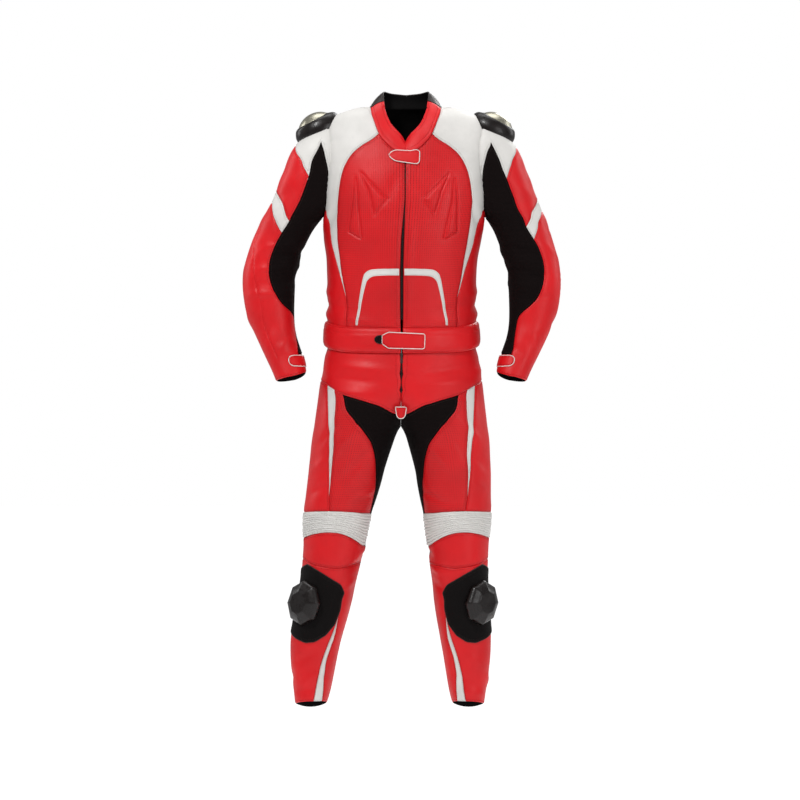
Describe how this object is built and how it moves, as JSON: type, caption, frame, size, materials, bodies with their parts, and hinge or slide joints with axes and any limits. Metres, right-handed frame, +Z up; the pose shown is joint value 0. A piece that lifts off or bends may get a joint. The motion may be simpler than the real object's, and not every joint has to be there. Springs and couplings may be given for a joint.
{
  "type": "motorcycle race suit",
  "caption": "Leather motorcycle race suit of jacket and trousers, hollow and filled out as worn, with stretch panels, ribbed knees, and hard shoulder and knee sliders.",
  "frame": {"origin": "in the middle of the neck at shoulder height, where the worn suit hangs on the shoulders", "axes": "+Z up along the body, -Y the suit's front, +X the wearer's left"},
  "size_m": [0.748, 0.254, 1.4468],
  "materials": {
    "red_leather": "satin grain, perforated on the chest and thighs",
    "white_leather": "satin grain",
    "stretch_fabric": "matt ribbed stretch weave",
    "black_fabric": "matt",
    "zip_tape": "matt",
    "slider_plastic": "satin, moulded with facets",
    "insert_metal": "brushed"
  },
  "bodies": {
    "root": {"chest_left": "red_leather", "chest_right": "red_leather", "jacket_side_left": "red_leather", "jacket_side_right": "red_leather", "jacket_back": "red_leather", "waistband": "red_leather", "neck_strap": "red_leather", "belt_strap": "red_leather", "collar_red_left": "red_leather", "collar_red_right": "red_leather", "sleeve_upper_left": "red_leather", "sleeve_upper_right": "red_leather", "sleeve_forearm_left": "red_leather", "sleeve_forearm_right": "red_leather", "cuff_strap_left": "red_leather", "cuff_strap_right": "red_leather", "pelvis_left": "red_leather", "pelvis_right": "red_leather", "thigh_front_left": "red_leather", "thigh_front_right": "red_leather", "thigh_back_left": "red_leather", "thigh_back_right": "red_leather", "knee_panel_left": "red_leather", "knee_panel_right": "red_leather", "shin_left": "red_leather", "shin_right": "red_leather", "calf_left": "red_leather", "calf_right": "red_leather", "crotch_tab": "red_leather", "shoulder_yoke_left": "white_leather", "shoulder_yoke_right": "white_leather", "arch_stripe_left": "white_leather", "arch_stripe_right": "white_leather", "sleeve_cap_left": "white_leather", "sleeve_cap_right": "white_leather", "sleeve_stripe_left": "white_leather", "sleeve_stripe_right": "white_leather", "thigh_stripe_left": "white_leather", "thigh_stripe_right": "white_leather", "knee_band_left": "white_leather", "knee_band_right": "white_leather", "shin_stripe_left": "white_leather", "shin_stripe_right": "white_leather", "sleeve_inner_left": "stretch_fabric", "sleeve_inner_right": "stretch_fabric", "crotch_left": "stretch_fabric", "crotch_right": "stretch_fabric", "collar_black": "black_fabric", "knee_patch_left": "black_fabric", "knee_patch_right": "black_fabric", "belt_tab": "black_fabric", "jacket_zip": "zip_tape", "fly_zip": "zip_tape", "shoulder_slider_left": "slider_plastic", "shoulder_slider_right": "slider_plastic", "knee_slider_left": "slider_plastic", "knee_slider_right": "slider_plastic", "shoulder_insert_left": "insert_metal", "shoulder_insert_right": "insert_metal"}
  },
  "joints": []
}
